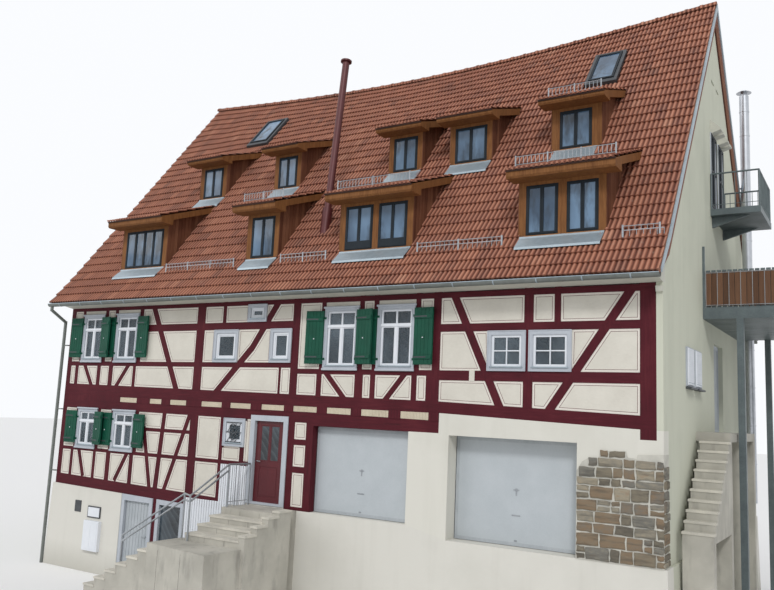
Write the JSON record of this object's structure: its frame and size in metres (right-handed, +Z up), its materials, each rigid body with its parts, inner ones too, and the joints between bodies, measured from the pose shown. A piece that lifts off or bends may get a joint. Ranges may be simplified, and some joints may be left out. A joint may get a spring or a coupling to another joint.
{
  "type": "half-timbered house",
  "caption": "Half-timbered house on a masonry base, with a steep tiled roof, sagging ridge, shed dormers, garages, green shutters, entrance stair, terrace and balcony.",
  "frame": {"origin": "centre of the house footprint at the lowest ground, on the underside of the cellar floor", "axes": "+X along the timbered front to the right, +Y into the house from the front, +Z up"},
  "size_m": [18.6, 14.691, 15.095],
  "materials": {
    "wood": "bare boards",
    "oak_timber": "rough sawn",
    "base_plaster": "smooth painted plaster",
    "rubble": "rough rubble with pale mortar",
    "gable_plaster": "rendered, slightly weathered",
    "painted_timber": "oxblood paint on old timber",
    "panel_plaster": "limewashed plaster",
    "eaves_paint": "painted boards",
    "zinc": "weathered zinc",
    "roof_tile": "matt clay tiles",
    "oiled_wood": "oiled",
    "cheek_wood": "vertical boards",
    "window_paint": "painted",
    "glass": "clear panes",
    "shutter_paint": "painted boards",
    "flue_metal": "painted and bare sheet",
    "dark_metal": "dark paint",
    "concrete": "cast concrete",
    "galvanised": "galvanised",
    "door_paint": "satin paint",
    "garage_paint": "satin paint",
    "plank_paint": "painted planks"
  },
  "bodies": {
    "house": {"floors": "wood", "floor_beams": "oak_timber", "base_wall_front": "base_plaster", "garage_piers": "base_plaster", "garage_lintel": "base_plaster", "rubble_corner": "rubble", "left_gable_wall": "gable_plaster", "right_gable_base": "gable_plaster", "right_gable_piers": "gable_plaster", "right_gable_upper": "gable_plaster", "rear_base_wall": "base_plaster", "front_posts": "painted_timber", "front_plates": "painted_timber", "front_rails": "painted_timber", "front_braces": "painted_timber", "front_panels": "panel_plaster", "rear_timbers": "painted_timber", "rear_panels": "panel_plaster", "eaves_boxes": "eaves_paint", "gutters": "zinc", "roof_front": "roof_tile", "roof_rear": "roof_tile", "verge_trim": "zinc", "dormer_fronts": "oiled_wood", "dormer_cheeks": "cheek_wood", "dormer_roofs": "roof_tile", "window_frames": "window_paint", "window_glass": "glass", "shutters": "shutter_paint", "snow_guards": "zinc", "flues": "flue_metal", "balcony": "dark_metal", "terrace": "dark_metal", "gable_railings": "dark_metal", "gable_stair": "concrete", "entrance_stair": "concrete", "stair_railing": "galvanised", "door_frames": "window_paint", "garage_frames": "galvanised"},
    "entrance_door": {"entrance_door": "door_paint"},
    "garage_door_left": {"garage_door_left": "garage_paint"},
    "garage_door_right": {"garage_door_right": "garage_paint"},
    "cellar_door": {"cellar_door": "plank_paint"},
    "gable_door": {"gable_door": "plank_paint"}
  },
  "joints": [
    {"name": "entrance_door_hinge", "type": "hinge", "parent": "house", "child": "entrance_door", "pos_m": [-0.243, -5.467, 3.3], "axis": [0, 0, -1], "range_deg": [0, 90]},
    {"name": "cellar_door_hinge", "type": "hinge", "parent": "house", "child": "cellar_door", "pos_m": [-5.309, -5.467, 1.1], "axis": [0, 0, 1], "range_deg": [0, 90]},
    {"name": "gable_door_hinge", "type": "hinge", "parent": "house", "child": "gable_door", "pos_m": [8.122, 0.389, 5.4], "axis": [0, 0, -1], "range_deg": [0, 90]},
    {"name": "garage_door_left_pivot", "type": "hinge", "parent": "house", "child": "garage_door_left", "pos_m": [1.86, -4.86937, 3.61437], "axis": [-1, 0, 0], "range_deg": [0, 90]},
    {"name": "garage_door_right_pivot", "type": "hinge", "parent": "house", "child": "garage_door_right", "pos_m": [5.3865, -4.63152, 3.53552], "axis": [-1, 0, 0], "range_deg": [0, 90]}
  ]
}
